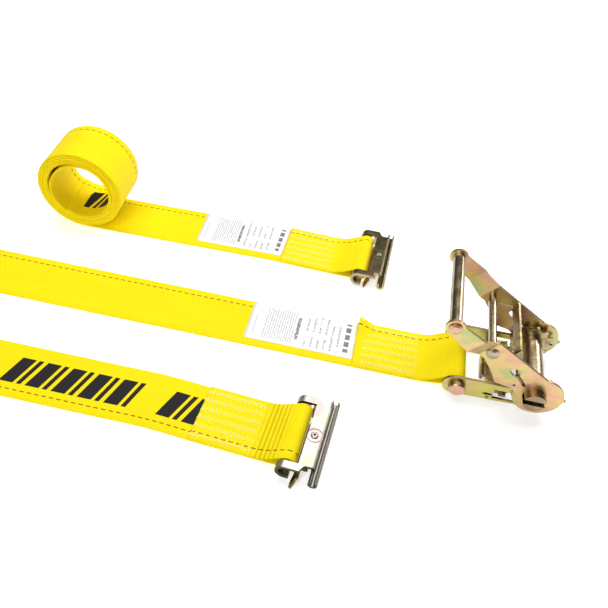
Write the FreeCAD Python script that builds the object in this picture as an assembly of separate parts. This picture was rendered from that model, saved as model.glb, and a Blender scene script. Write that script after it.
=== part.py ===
"""Ratchet tie down for 2 in webbing: a fixed strap with a ratchet and a track fitting,
and a long rolled strap with its own track fitting. Millimetres, +Z up, ground at z = 0."""
import FreeCAD, Part
import math
import os
from FreeCAD import Vector

os.makedirs("parts", exist_ok=True)

# --- driving dimensions -------------------------------------------------------------------
WEB_W, WEB_T = 50.8, 1.6            # webbing width and thickness
EYE_GAP = 0.3                       # slack between a sewn eye and the bar it turns on

BOLT_X, BOLT_Z = 79.5, 11.0         # end bolt axis, which holds the fixed strap's eye
SPOOL_X, SPOOL_Z = 139.0, 19.5      # spool axis, which the handle also turns on
SLEEVE_R, BOLT_R = 4.6, 3.5
SPOOL_R = 9.0                       # the two spool halves together make this round
SPOOL_SLOT = 5.0                    # slot between the halves for the long strap
RUN_GAP = 0.05                      # radial running clearance of spool and pins
SIDE_GAP = 0.2                      # side clearance between stacked plates
SHEET = 2.2                         # plate thickness of wheels, frame and handle

WHEEL_IN = 25.9                     # inner face of a ratchet wheel, from the centre plane
FRAME_IN = WHEEL_IN + SHEET + SIDE_GAP
HANDLE_IN = FRAME_IN + SHEET + SIDE_GAP + 0.1
GRIP_IN = HANDLE_IN + 8.0           # the handle plates step out towards the grip
TEETH = 12
WHEEL_TIP, WHEEL_ROOT = 17.9, 14.8
PAWL_REST = 18.3                    # pawl noses ride just outside the tooth crests at rest

HANDLE_DEG = 140.2                  # handle direction at rest, from +X towards +Z
GRIP_U = 102.0                      # spool axis to grip axis
ROD_U, ROD_V = 58.9, 1.8            # cross rod, along and across the handle
GRIP_R, ROD_R = 5.0, 3.3
LOBE_DX, LOBE_DZ, LOBE_R = 2.6, 0.5, 19.8   # handle lobe, a little off the spool axis

FRAME_TOP, FRAME_LOW = 20.6, 1.2    # upper and lower edges of the frame plates
FRAME_END_R = 15.4                  # frame plate end around the spool
WINDOW_X = (109.0, 126.6)           # window in each frame plate for the locking pawl
WINDOW_Z = (4.6, 15.4)
CROSS_X = 104.4                     # left face of the plate that ties the frame together

FIT_W, HOOK_W = 66.0, 74.0          # track fitting and its hook, across the strap
FIT_SHEET = 2.5
RAIL_A, RAIL_Z, RAIL_R = 7.0, 7.5, 4.5
HINGE_A, HINGE_Z, HINGE_R = 20.6, 8.9, 1.5
HOOK_A, HOOK_Z, HOOK_R = 29.0, 7.6, 3.6
RIVET_A, RIVET_Y = 20.9, -0.8
LATCH_PLAY = 2.4                    # the latches rest at opposite ends of their side play

TURN_X, TURN_R = -511.0, 49.5       # centre and radius of the fixed strap's turn on edge
TWIST_X = -352.0                    # where each run starts to twist on to its edge
LOW_Y = -99.0                       # centre line of the run that comes back
LOW_JOINT = (-150.0, LOW_Y, -4.0)   # x, y, turn in degrees of its sewn end
LONG_JOINT = (-100.0, 109.5)        # where the long strap's run meets its sewn end
LONG_RUN_DEG, LONG_END_DEG = 1.2, -2.0
ROLL_X, ROLL_R, ROLL_BORE = -285.0, 40.4, 27.2

FLAP_RATCHET, EYE_RATCHET = -7.0, 53.0      # flap end and start of the open eye, in x
FLAP_LOW, EYE_LOW = -113.0, -58.0
FLAP_LONG, EYE_LONG = -91.0, -37.0
FIT_LOW_X, FIT_LONG_X = -44.0, -21.9        # left end of each fitting
LABEL_T = 0.3


# --- helpers --------------------------------------------------------------------------------
def box(x0, x1, y0, y1, z0, z1):
    return Part.makeBox(x1 - x0, y1 - y0, z1 - z0, Vector(x0, y0, z0))


def rod(r, x, z, y0, y1):
    """Round bar along Y."""
    return Part.makeCylinder(r, y1 - y0, Vector(x, y0, z), Vector(0, 1, 0))


def tube(r_out, r_in, x, z, y0, y1):
    return rod(r_out, x, z, y0, y1).cut(rod(r_in, x, z, y0 - 1, y1 + 1))


def face_xz(points, y):
    """Flat face in the plane of constant y from (x, z) points."""
    corners = [Vector(x, y, z) for x, z in points]
    return Part.Face(Part.makePolygon(corners + corners[:1]))


def prism_xz(points, y0, y1):
    return face_xz(points, y0).extrude(Vector(0, y1 - y0, 0))


def prism_y(points, z0, z1):
    """Upright prism from (x, y) points."""
    corners = [Vector(x, y, z0) for x, y in points]
    return Part.Face(Part.makePolygon(corners + corners[:1])).extrude(Vector(0, 0, z1 - z0))


def arc_points(cx, cz, r, deg0, deg1, count):
    """Points on a circle arc, ends included, used as polygon corners."""
    steps = [deg0 + (deg1 - deg0) * i / (count - 1) for i in range(count)]
    return [(cx + r * math.cos(math.radians(a)), cz + r * math.sin(math.radians(a))) for a in steps]


def mirrored(shape):
    return shape.mirror(Vector(0, 0, 0), Vector(0, 1, 0))


def turned(shape, x, y, deg):
    """Turn a shape about the vertical line through (x, y)."""
    out = shape.copy()
    out.rotate(Vector(x, y, 0), Vector(0, 0, 1), deg)
    return out


def dome(r, height, x, z, y, side):
    """Rivet head: a short cone-topped disc on a face at y, standing out on the given side."""
    base = Part.makeCylinder(r, height * 0.5, Vector(x, y, z), Vector(0, side, 0))
    tip = Part.makeCone(r, r * 0.6, height * 0.5, Vector(x, y + side * height * 0.5, z), Vector(0, side, 0))
    return base.fuse(tip).removeSplitter()


def save(node, shape):
    """Write one sub-part after testing that it is sound."""
    for solid in shape.Solids:
        if not solid.isValid():
            raise ValueError(node + " has a bad solid")
    if not shape.Solids:
        raise ValueError(node + " has no solid")
    shape.exportStep("parts/" + node + ".step")


# --- webbing ----------------------------------------------------------------------------------
def tangent_deg(px, pz, cx, cz, r, side):
    """Angle on a circle where the line from a point outside it touches."""
    reach = math.hypot(px - cx, pz - cz)
    base = math.degrees(math.atan2(pz - cz, px - cx))
    return base + side * math.degrees(math.acos(r / reach))


def loop_face(sx, z_low, z_high, cx, cz, r, y):
    """Face bounded by a drop-shaped loop: a point or short edge at sx, and an arc round a bar."""
    low = tangent_deg(sx, z_low, cx, cz, r, 1)
    high = tangent_deg(sx, z_high, cx, cz, r, -1)

    def on(deg):
        return Vector(cx + r * math.cos(math.radians(deg)), y, cz + r * math.sin(math.radians(deg)))
    p_low, p_high = on(low), on(high)
    edges = [Part.LineSegment(Vector(sx, y, z_low), p_low).toShape(),
             Part.Arc(p_low, on(0), p_high).toShape(),
             Part.LineSegment(p_high, Vector(sx, y, z_high)).toShape()]
    if z_high - z_low > 0.01:
        edges.append(Part.LineSegment(Vector(sx, y, z_high), Vector(sx, y, z_low)).toShape())
    return Part.Face(Part.Wire(edges))


def sewn_end(flap_x, eye_x, bar_x, bar_z, bar_r, y):
    """Doubled webbing from the flap's end to an eye round a bar, centred on y."""
    low_y, high_y = y - WEB_W / 2, y + WEB_W / 2
    r_in = bar_r + EYE_GAP
    doubled = box(flap_x, eye_x, low_y, high_y, 0, 2 * WEB_T)
    outer = loop_face(eye_x, 0, 2 * WEB_T, bar_x, bar_z, r_in + WEB_T, low_y)
    inner = loop_face(eye_x + 3.0, WEB_T, WEB_T, bar_x, bar_z, r_in, low_y)
    across = Vector(0, WEB_W, 0)
    eye = outer.extrude(across).cut(inner.extrude(across))
    return doubled.fuse(eye).removeSplitter()


def twist(y, side):
    """Webbing that goes from flat to standing on its edge as x falls, low edge on the ground."""
    wires = []
    steps = 6
    for i in range(steps + 1):
        turn = math.radians(90.0 * i / steps) * side
        x = TWIST_X + (TURN_X - TWIST_X) * i / steps
        centre_z = WEB_W / 2 * abs(math.sin(turn)) + WEB_T / 2 * math.cos(turn)
        corners = []
        for b, n in ((-1, -1), (1, -1), (1, 1), (-1, 1)):
            across, normal = b * WEB_W / 2, n * WEB_T / 2
            corners.append(Vector(x, y + across * math.cos(turn) - normal * math.sin(turn),
                                  centre_z + across * math.sin(turn) + normal * math.cos(turn)))
        wires.append(Part.makePolygon(corners + corners[:1]))
    return Part.makeLoft(wires, True, False)


def turn_on_edge():
    mid_y = LOW_Y / 2
    ring = Part.makeCylinder(TURN_R + WEB_T / 2, WEB_W, Vector(TURN_X, mid_y, 0))
    ring = ring.cut(Part.makeCylinder(TURN_R - WEB_T / 2, WEB_W, Vector(TURN_X, mid_y, 0)))
    return ring.common(box(TURN_X - 100, TURN_X, mid_y - 100, mid_y + 100, 0, WEB_W))


def make_fixed_strap():
    half = WEB_W / 2
    save("fixed_strap_ratchet_end", sewn_end(FLAP_RATCHET, EYE_RATCHET, BOLT_X, BOLT_Z, SLEEVE_R, 0))
    save("fixed_strap_upper_run", box(TWIST_X, FLAP_RATCHET, -half, half, 0, WEB_T))
    save("fixed_strap_upper_twist", twist(0, 1))
    save("fixed_strap_turn", turn_on_edge())
    save("fixed_strap_lower_twist", twist(LOW_Y, -1))
    x, y, deg = LOW_JOINT
    save("fixed_strap_lower_run", box(TWIST_X, x, y - half, y + half, 0, WEB_T))
    end = sewn_end(FLAP_LOW, EYE_LOW, FIT_LOW_X + RAIL_A, RAIL_Z, RAIL_R, y)
    wedge = half * math.tan(math.radians(abs(deg)))
    bridge = box(x + wedge, FLAP_LOW, y - half, y + half, 0, WEB_T)
    save("fixed_strap_fitting_end", turned(end.fuse(bridge).removeSplitter(), x, y, deg))
    save("fixed_strap_label", box(-102, FLAP_RATCHET, -18.5, half, WEB_T, WEB_T + LABEL_T))


def make_long_strap():
    x, y = LONG_JOINT
    half = WEB_W / 2
    run = box(ROLL_X + 11.5, x, y - half, y + half, 0, WEB_T)
    roll = tube(ROLL_R, ROLL_BORE, ROLL_X, ROLL_R, y - half, y + half)
    label = box(-177, x, y - 18.5, y + half, WEB_T, WEB_T + LABEL_T)
    for node, shape in (("long_strap_run", run), ("long_strap_roll", roll), ("long_strap_label", label)):
        save(node, turned(shape, x, y, LONG_RUN_DEG))
    end = sewn_end(FLAP_LONG, EYE_LONG, FIT_LONG_X + RAIL_A, RAIL_Z, RAIL_R, y)
    wedge = half * math.tan(math.radians(LONG_RUN_DEG - LONG_END_DEG))
    bridge = box(x + wedge, FLAP_LONG, y - half, y + half, 0, WEB_T)
    save("long_strap_fitting_end", turned(end.fuse(bridge).removeSplitter(), x, y, LONG_END_DEG))


# --- ratchet frame ----------------------------------------------------------------------------
def frame_outline(y0, y1):
    """Side plate: band from the end bolt to a round end about the spool."""
    band_h = FRAME_TOP - FRAME_LOW
    mid_z = (FRAME_TOP + FRAME_LOW) / 2
    points = arc_points(BOLT_X - 2.2, mid_z, band_h / 2, 90, 270, 13)
    points += [(SPOOL_X - 10.0, FRAME_LOW + 1.2), (SPOOL_X, SPOOL_Z), (SPOOL_X - 12.0, FRAME_TOP + 0.4)]
    plate = prism_xz(points, y0, y1)
    return plate.fuse(rod(FRAME_END_R, SPOOL_X, SPOOL_Z, y0, y1)).removeSplitter()


def frame_plate():
    y0, y1 = FRAME_IN, FRAME_IN + SHEET
    plate = frame_outline(y0, y1)
    plate = plate.cut(rod(BOLT_R, BOLT_X, BOLT_Z, y0 - 1, y1 + 1))
    plate = plate.cut(rod(SPOOL_R + RUN_GAP, SPOOL_X, SPOOL_Z, y0 - 1, y1 + 1))
    plate = plate.cut(box(*WINDOW_X, y0 - 1, y1 + 1, *WINDOW_Z))
    plate = plate.cut(prism_xz([(100.5, 8.6), (103.0, 7.2), (109.5, 7.8), (109.5, 9.4), (103.0, 10.0)],
                               y0 - 1, y1 + 1))
    return plate.cut(box(CROSS_X, CROSS_X + SHEET, y0 - 1, y1 + 1, 2.8, 6.4))


def cross_plate():
    """Low web that ties the side plates together, with a tab into each plate."""
    x0, x1 = CROSS_X, CROSS_X + SHEET
    outer = FRAME_IN + SHEET
    web = box(x0, x1, -FRAME_IN, FRAME_IN, 2.0, 7.6)
    tabs = box(x0, x1, -outer, outer, 2.8, 6.4)
    return web.fuse(tabs).removeSplitter()


def make_frame():
    plate = frame_plate()
    save("frame_plate_far", plate)
    save("frame_plate_near", mirrored(plate))
    save("frame_cross_plate", cross_plate())
    save("end_sleeve", tube(SLEEVE_R, BOLT_R + 0.02, BOLT_X, BOLT_Z, -FRAME_IN, FRAME_IN))
    outer = FRAME_IN + SHEET
    shank = rod(BOLT_R, BOLT_X, BOLT_Z, -outer, outer + 5.2)
    head = Part.makeCylinder(6.8, 4.2, Vector(BOLT_X, -outer, BOLT_Z), Vector(0, -1, 0))
    rim = Part.makeCone(6.8, 6.0, 1.0, Vector(BOLT_X, -outer - 4.2, BOLT_Z), Vector(0, -1, 0))
    save("end_bolt", shank.fuse([head, rim]).removeSplitter())
    hexagon = prism_xz(arc_points(BOLT_X, BOLT_Z, 6.9, 0, 300, 6), outer, outer + 4.6)
    save("end_bolt_nut", hexagon.cut(rod(BOLT_R, BOLT_X, BOLT_Z, outer - 1, outer + 6)))


# --- spool ------------------------------------------------------------------------------------
SPOOL_HALF_LEN = HANDLE_IN + SHEET + 7.0


def spool_half(side):
    whole = rod(SPOOL_R, SPOOL_X, SPOOL_Z, -SPOOL_HALF_LEN, SPOOL_HALF_LEN)
    low = SPOOL_Z + side * SPOOL_SLOT / 2
    z0, z1 = (low, low + 2 * SPOOL_R) if side > 0 else (low - 2 * SPOOL_R, low)
    half = whole.common(box(SPOOL_X - 20, SPOOL_X + 20, -50, 50, z0, z1))
    return half


def ratchet_wheel():
    """Toothed disc with a bore for the spool halves."""
    pitch = 360.0 / TEETH
    start = 190.0 - 0.5 * pitch
    points = []
    for i in range(TEETH):
        a = start + i * pitch
        points += arc_points(SPOOL_X, SPOOL_Z, WHEEL_TIP, a, a + 0.25 * pitch, 2)
        points += arc_points(SPOOL_X, SPOOL_Z, WHEEL_ROOT, a + 0.35 * pitch, a + 0.75 * pitch, 3)
    wheel = prism_xz(points, WHEEL_IN, WHEEL_IN + SHEET)
    return wheel.cut(rod(SPOOL_R, SPOOL_X, SPOOL_Z, WHEEL_IN - 1, WHEEL_IN + SHEET + 1))


def make_spool():
    save("spool_half_upper", spool_half(1))
    save("spool_half_lower", spool_half(-1))
    wheel = ratchet_wheel()
    save("ratchet_wheel_far", wheel)
    save("ratchet_wheel_near", mirrored(wheel))


# --- handle -----------------------------------------------------------------------------------
HU = (math.cos(math.radians(HANDLE_DEG)), math.sin(math.radians(HANDLE_DEG)))
HV = (HU[1], -HU[0])


def at_handle(u, v):
    """(x, z) of a point given along the handle (u) and across it (v, away from the floor)."""
    return (SPOOL_X + u * HU[0] + v * HV[0], SPOOL_Z + u * HU[1] + v * HV[1])


PAWL_DEG = HANDLE_DEG - 9.0
PAWL_V = -1.45                      # the pawl's line of travel passes this far below the spool axis
PU = (math.cos(math.radians(PAWL_DEG)), math.sin(math.radians(PAWL_DEG)))
PV = (PU[1], -PU[0])


def at_pawl(u, v):
    """(x, z) along and across the drive pawl's line of travel."""
    return (SPOOL_X + u * PU[0] + v * PV[0], SPOOL_Z + u * PU[1] + v * PV[1])


def handle_outline(y0, y1):
    upper = [(106.0, 5.0), (88.0, 7.4), (76.0, 9.0), (65.0, 12.0), (38.0, 15.2), (8.0, 18.6)]
    lower = [(6.0, -16.0), (13.0, -9.4), (19.0, -9.8), (31.0, -15.6), (43.0, -10.6), (58.0, -6.4),
             (66.0, -7.4), (80.0, -7.8), (96.0, -7.4), (103.0, -6.6)]
    points = [at_handle(u, v) for u, v in upper + lower]
    plate = prism_xz(points, y0, y1)
    gx, gz = at_handle(GRIP_U, 0)
    lobe = rod(LOBE_R, SPOOL_X + LOBE_DX, SPOOL_Z + LOBE_DZ, y0, y1)
    plate = plate.fuse([lobe, rod(7.5, gx, gz, y0, y1), lobe_tip(y0, y1)])
    return plate.removeSplitter()


def lobe_tip(y0, y1):
    """Small pointed stop on the handle's lobe."""
    root = arc_points(SPOOL_X + LOBE_DX, SPOOL_Z + LOBE_DZ, LOBE_R - 1.0, -11, 9, 2)
    points = root + [(SPOOL_X + 24.4, SPOOL_Z + 1.2)]
    return prism_xz(points, y0, y1)


def stepped_ribbon():
    """Bent strip in plan whose overlap with the outline gives a plate with a step outwards."""
    steps = [(-40, HANDLE_IN), (64, HANDLE_IN), (78, GRIP_IN), (125, GRIP_IN)]
    inner = [(u, y) for u, y in steps]
    outer = [(u, y + SHEET) for u, y in reversed(steps)]
    corners = []
    for u, y in inner + outer:
        x, z = at_handle(u, -60)
        corners.append(Vector(x, y, z))
    face = Part.Face(Part.makePolygon(corners + corners[:1]))
    return face.extrude(Vector(HV[0] * 120, 0, HV[1] * 120))


def slot_prism(u0, u1, half_high, y0, y1):
    """Slot with round ends along the drive pawl's travel."""
    corners = [(u0, -half_high), (u1, -half_high), (u1, half_high), (u0, half_high)]
    slot = prism_xz([at_pawl(u, v + PAWL_V) for u, v in corners], y0, y1)
    for u in (u0, u1):
        x, z = at_pawl(u, PAWL_V)
        slot = slot.fuse(rod(half_high, x, z, y0, y1))
    return slot


def handle_plate():
    y0, y1 = HANDLE_IN - 1, GRIP_IN + SHEET + 1
    plate = handle_outline(y0, y1).common(stepped_ribbon())
    plate = plate.cut(rod(SPOOL_R + RUN_GAP, SPOOL_X, SPOOL_Z, y0, y1))
    rx, rz = at_handle(ROD_U, ROD_V)
    gx, gz = at_handle(GRIP_U, 0)
    plate = plate.cut(rod(2.6, rx, rz, y0, y1))
    plate = plate.cut(rod(3.0, gx, gz, y0, y1))
    hx, hz = at_handle(20.0, -5.2)
    plate = plate.cut(rod(1.1, hx, hz, y0, y1))
    plate = plate.cut(slot_prism(14.6, 33.0, 1.3, y0, y1))
    return plate.cut(slot_prism(30.4, 33.4, 3.0, y0, y1))


def stepped_rod(r_mid, r_end, x, z, y_mid, y_end, head_r, head_h):
    """Rod with a shoulder inside each plate and a rivet head outside it."""
    body = rod(r_mid, x, z, -y_mid, y_mid).fuse(rod(r_end, x, z, -y_end, y_end))
    heads = [dome(head_r, head_h, x, z, side * y_end, side) for side in (-1, 1)]
    return body.fuse(heads).removeSplitter()


def make_handle():
    plate = handle_plate()
    save("handle_plate_far", plate)
    save("handle_plate_near", mirrored(plate))
    rx, rz = at_handle(ROD_U, ROD_V)
    gx, gz = at_handle(GRIP_U, 0)
    save("handle_cross_rod", stepped_rod(ROD_R, 2.6, rx, rz, HANDLE_IN, HANDLE_IN + SHEET, 4.8, 1.8))
    save("grip_rod", stepped_rod(3.0, 3.0, gx, gz, GRIP_IN, GRIP_IN + SHEET, 4.9, 2.0))
    save("grip_tube", tube(GRIP_R, 3.02, gx, gz, -GRIP_IN, GRIP_IN))


# --- pawls ------------------------------------------------------------------------------------
def bent_strip(line, thick, y0, y1):
    """Sheet bent along a line of (u, v) points in the pawl's frame."""
    shift = [(u, v + thick) for u, v in reversed(line)]
    return prism_xz([at_pawl(u, v) for u, v in line + shift], y0, y1)


def drive_pawl():
    """Plate whose nose meets the wheels, with ears in the handle's slots and a pull flange."""
    thick = 2.0
    low = PAWL_V - thick / 2
    reach = FRAME_IN - 0.4
    nose = bent_strip([(PAWL_REST, low), (24.0, low)], thick, -reach, reach)
    ear_half = HANDLE_IN + SHEET + 0.8
    ears = bent_strip([(19.6, low), (28.4, low)], thick, -ear_half, ear_half)
    ramp = bent_strip([(23.0, low), (31.0, low), (44.6, low + 5.8)], thick, -25.6, 25.6)
    flange = prism_xz([at_pawl(u, v) for u, v in ((43.0, low + 5.2), (45.0, low + 5.6), (47.6, low + 12.4),
                                                  (45.7, low + 13.2))], -25.6, 25.6)
    return nose.fuse([ears, ramp, flange]).removeSplitter()


def lock_pawl():
    """Plate that slides in the frame's windows towards the wheels, with a rounded thumb lip."""
    reach = FRAME_IN - 0.4
    outer = FRAME_IN + SHEET - 0.1
    nose_x = SPOOL_X - PAWL_REST
    nose = prism_xz([(nose_x, 14.2), (nose_x, 12.2), (116, 8.4), (103, 8.4), (103, 10.6), (115, 10.6)],
                    -reach, reach)
    ears = box(113.4, 119.0, -outer, outer, 8.4, 10.9)
    stop = box(112.0, 113.8, -22, 22, 3.4, 8.6)
    lip = prism_xz([(104.5, 8.4), (104.5, 10.6), (101.6, 10.3), (99.9, 8.9), (99.0, 6.4), (98.9, 3.6),
                    (100.9, 3.6), (101.1, 6.2), (102.4, 8.2)], -12.5, 12.5)
    for side in (-1, 1):
        corner = prism_y([(98, side * 13), (98, side * 8.5), (99.4, side * 11.2), (102.4, side * 13)], 3, 12)
        lip = lip.cut(corner)
    return nose.fuse([ears, stop, lip]).removeSplitter()


def lock_springs():
    """Two coil springs between the cross plate and the locking pawl, as their outer shape."""
    x0, x1 = CROSS_X + SHEET, 111.9
    coils = []
    for y in (-17.0, 17.0):
        axis = Vector(1, 0, 0)
        whole = Part.makeCylinder(2.2, x1 - x0, Vector(x0, y, 5.4), axis)
        coils.append(whole.cut(Part.makeCylinder(1.4, x1 - x0, Vector(x0, y, 5.4), axis)))
    return Part.makeCompound(coils)


def drive_springs():
    """Two coil springs from the drive pawl's pull flange to the handle's cross rod."""
    coils = []
    for y in (-22.6, 22.6):
        start = at_pawl(46.2, PAWL_V + 5.4)
        rx, rz = at_handle(ROD_U, ROD_V)
        span = Vector(rx - start[0], 0, rz - start[1])
        length = span.Length - ROD_R - 0.1
        base = Vector(start[0], y, start[1])
        whole = Part.makeCylinder(1.8, length, base, span)
        coils.append(whole.cut(Part.makeCylinder(1.1, length, base, span)))
    return Part.makeCompound(coils)


def make_pawls():
    save("drive_pawl", drive_pawl())
    save("lock_pawl", lock_pawl())
    save("lock_pawl_springs", lock_springs())
    save("drive_pawl_springs", drive_springs())


# --- track fittings ---------------------------------------------------------------------------
def fitting_body():
    """Pressed steel body along +X from its strap rail to an upturned hook, centred on y = 0."""
    half, arm = FIT_W / 2, 26.9
    top0, top1 = RAIL_Z + 7.0 - FIT_SHEET, RAIL_Z + 7.0
    neck = 27.4
    plate = prism_y([(15.6, -half), (17.2, -half), (19.4, -neck - 1.4), (21.0, -neck), (26.0, -neck),
                     (26.0, neck), (21.0, neck), (19.4, neck + 1.4), (17.2, half), (15.6, half)], top0, top1)
    fall = prism_xz([(26.0, top1), (27.2, top1 - 0.6), (27.9, top1 - 2.0), (27.9, HOOK_Z), (25.4, HOOK_Z),
                     (25.4, top0), (26.0, top0)], -neck, neck)
    hook = tube(HOOK_R, HOOK_R - 2.1, HOOK_A, HOOK_Z, -HOOK_W / 2, HOOK_W / 2)
    hook = hook.cut(box(HOOK_A - 1.4, HOOK_A + 1.6, -50, 50, HOOK_Z, HOOK_Z + 9))
    pieces = [plate, fall, hook, rod(RAIL_R + 0.02, RAIL_A, RAIL_Z, -half + 4.2, half - 4.2)]
    for side in (-1, 1):
        y0, y1 = sorted((side * arm, side * half))
        bend = tube(RAIL_Z - 0.5, RAIL_R, RAIL_A, RAIL_Z, y0, y1)
        pieces.append(bend.common(box(-5, RAIL_A, -half, half, 0, 20)))
        pieces.append(box(RAIL_A, 15.7, y0, y1, top0, top1))
        pieces.append(box(RAIL_A, 10.4, y0, y1, 0.5, RAIL_Z - RAIL_R))
        ear_y = sorted((side * 24.9, side * 27.1))
        pieces.append(box(HINGE_A - 2.4, HINGE_A + 2.4, ear_y[0], ear_y[1], HINGE_Z - 2.2, top0 + 0.1))
    body = pieces[0].fuse(pieces[1:]).removeSplitter()
    body = body.cut(rod(HINGE_R, HINGE_A, HINGE_Z, -half, half))
    groove = Part.makeCylinder(6.1, 1, Vector(RIVET_A, RIVET_Y, top1 - 0.4))
    groove = groove.cut(Part.makeCylinder(5.5, 1, Vector(RIVET_A, RIVET_Y, top1 - 0.4)))
    return body.cut([groove, Part.makeCylinder(1.6, 6, Vector(RIVET_A, RIVET_Y, top0 - 1))])


def fitting_latch():
    """Spring latch under the top plate: knuckles on the pin and a blade with two pointed wings."""
    down = Vector(-7.6, 0, -8.0).normalize()
    face_dir = Vector(down.z, 0, -down.x)
    root = Vector(HINGE_A, 0, HINGE_Z)
    edge = [(5.0, 0), (5.0, 13.0), (1.6, 13.0), (1.6, 21.6), (4.9, 21.6), (4.9, 31.0), (6.4, 32.6), (8.2, 35.4),
            (10.0, 38.2), (10.6, 37.0), (10.6, 33.0), (9.2, 27.4), (9.2, 25.0), (6.2, 22.4), (6.2, 20.2),
            (9.2, 17.4), (9.2, 0)]
    outline = edge[1:-1] + [(s, -y) for s, y in reversed(edge[1:-1])]
    corners = [root + down * s + face_dir * -1.0 + Vector(0, y, 0) for s, y in outline]
    blade = Part.Face(Part.makePolygon(corners + corners[:1])).extrude(face_dir * 2.0)
    knuckles = [rod(2.6, HINGE_A, HINGE_Z, y, y + 9.0) for y in (-21.8, 12.8)]
    latch = blade.fuse(knuckles).removeSplitter()
    return latch.cut(rod(HINGE_R + RUN_GAP, HINGE_A, HINGE_Z, -40, 40))


def fitting_pin():
    return rod(HINGE_R, HINGE_A, HINGE_Z, -27.8, 27.8)


def fitting_spring():
    """Coil of the latch spring round the pin, as its outer shape."""
    return tube(2.5, HINGE_R + 0.3, HINGE_A, HINGE_Z, -9.8, 9.8)


def fitting_rivet():
    """Hollow-ended rivet that holds the spring's plate."""
    top = RAIL_Z + 7.0
    shank = Part.makeCylinder(1.6, FIT_SHEET, Vector(RIVET_A, RIVET_Y, top - FIT_SHEET))
    head = Part.makeCylinder(2.8, 0.5, Vector(RIVET_A, RIVET_Y, top))
    cap = Part.makeCone(2.8, 2.0, 0.6, Vector(RIVET_A, RIVET_Y, top + 0.5))
    hollow = Part.makeCone(0.5, 1.1, 1.2, Vector(RIVET_A, RIVET_Y, top - 0.1))
    return shank.fuse([head, cap]).cut(hollow).removeSplitter()


def make_fitting(name, left_x, y, pivot, deg, play):
    pieces = (("body", fitting_body(), 0), ("latch", fitting_latch(), play), ("pin", fitting_pin(), 0),
              ("spring", fitting_spring(), 0), ("rivet", fitting_rivet(), 0))
    for label, shape, shift in pieces:
        placed = shape.copy()
        placed.translate(Vector(left_x, y + shift, 0))
        save(name + "_" + label, turned(placed, pivot[0], pivot[1], deg))


# --- the whole part ---------------------------------------------------------------------------
make_fixed_strap()
make_frame()
make_spool()
make_handle()
make_pawls()
make_fitting("fixed_fitting", FIT_LOW_X, LOW_JOINT[1], LOW_JOINT, LOW_JOINT[2], -LATCH_PLAY)
make_long_strap()
make_fitting("long_fitting", FIT_LONG_X, LONG_JOINT[1] + 0.9, LONG_JOINT, LONG_END_DEG, LATCH_PLAY)
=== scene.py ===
"""Ratchet tie down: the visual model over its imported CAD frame. Metres, +Z up."""
import math

import bmesh
import bpy
from mathutils import Matrix, Vector


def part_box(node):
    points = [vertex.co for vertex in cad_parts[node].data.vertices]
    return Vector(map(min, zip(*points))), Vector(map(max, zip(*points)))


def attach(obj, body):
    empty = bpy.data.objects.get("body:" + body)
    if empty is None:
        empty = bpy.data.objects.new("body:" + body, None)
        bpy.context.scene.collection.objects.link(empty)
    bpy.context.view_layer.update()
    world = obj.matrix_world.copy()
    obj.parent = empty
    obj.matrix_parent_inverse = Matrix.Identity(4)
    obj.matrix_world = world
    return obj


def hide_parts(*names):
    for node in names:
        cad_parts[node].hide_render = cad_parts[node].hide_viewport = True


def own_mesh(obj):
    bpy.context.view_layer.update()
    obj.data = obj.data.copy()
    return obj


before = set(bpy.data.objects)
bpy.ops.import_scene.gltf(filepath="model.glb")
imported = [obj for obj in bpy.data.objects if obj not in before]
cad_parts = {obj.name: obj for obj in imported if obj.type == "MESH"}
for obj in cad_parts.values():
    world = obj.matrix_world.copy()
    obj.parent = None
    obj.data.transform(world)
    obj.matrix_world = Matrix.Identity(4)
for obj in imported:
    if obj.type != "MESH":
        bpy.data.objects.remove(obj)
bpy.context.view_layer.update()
MM = 0.001

# --- sizes taken from the frame -------------------------------------------------------------
WEB_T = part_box("fixed_strap_upper_run")[1].z
WEB_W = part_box("fixed_strap_upper_run")[1].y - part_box("fixed_strap_upper_run")[0].y
HALF = WEB_W / 2
FLAP_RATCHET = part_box("fixed_strap_ratchet_end")[0].x
TWIST_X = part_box("fixed_strap_upper_run")[0].x
TURN_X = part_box("fixed_strap_turn")[1].x
LOW_Y = (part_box("fixed_strap_lower_run")[0].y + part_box("fixed_strap_lower_run")[1].y) / 2
TURN_R = -LOW_Y / 2
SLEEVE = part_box("end_sleeve")
BOLT = Vector(((SLEEVE[0].x + SLEEVE[1].x) / 2, 0, (SLEEVE[0].z + SLEEVE[1].z) / 2))
SLEEVE_R = (SLEEVE[1].z - SLEEVE[0].z) / 2

# Places that the sewn ends share with the CAD solids, in metres and degrees
EYE_GAP, EYE_SLACK = 0.3 * MM, 0.6 * MM      # round the ratchet's sleeve, round a fitting's rail
EYE_RATCHET = 53 * MM
LOW_PIVOT, LOW_DEG = Vector((-0.150, LOW_Y, 0)), -4.0
FLAP_LOW, EYE_LOW, RAIL_LOW = -0.113, -0.058, -0.037
LONG_PIVOT, LONG_DEG, LONG_RUN_DEG = Vector((-0.100, 0.1095, 0)), -2.0, 1.2
FLAP_LONG, EYE_LONG, RAIL_LONG = -0.091, -0.037, -0.0149
RAIL_Z, RAIL_R = 7.5 * MM, 4.5 * MM
ROLL_X, ROLL_R, ROLL_TURNS = -0.285, 0.0404, 7.1
LABEL_W, LABEL_T = 43.5 * MM, 0.3 * MM
DRIVE_SPRING, DRIVE_SPRING_HALF = math.radians(174.1), 6.4 * MM   # from the pawl to the cross rod


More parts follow.
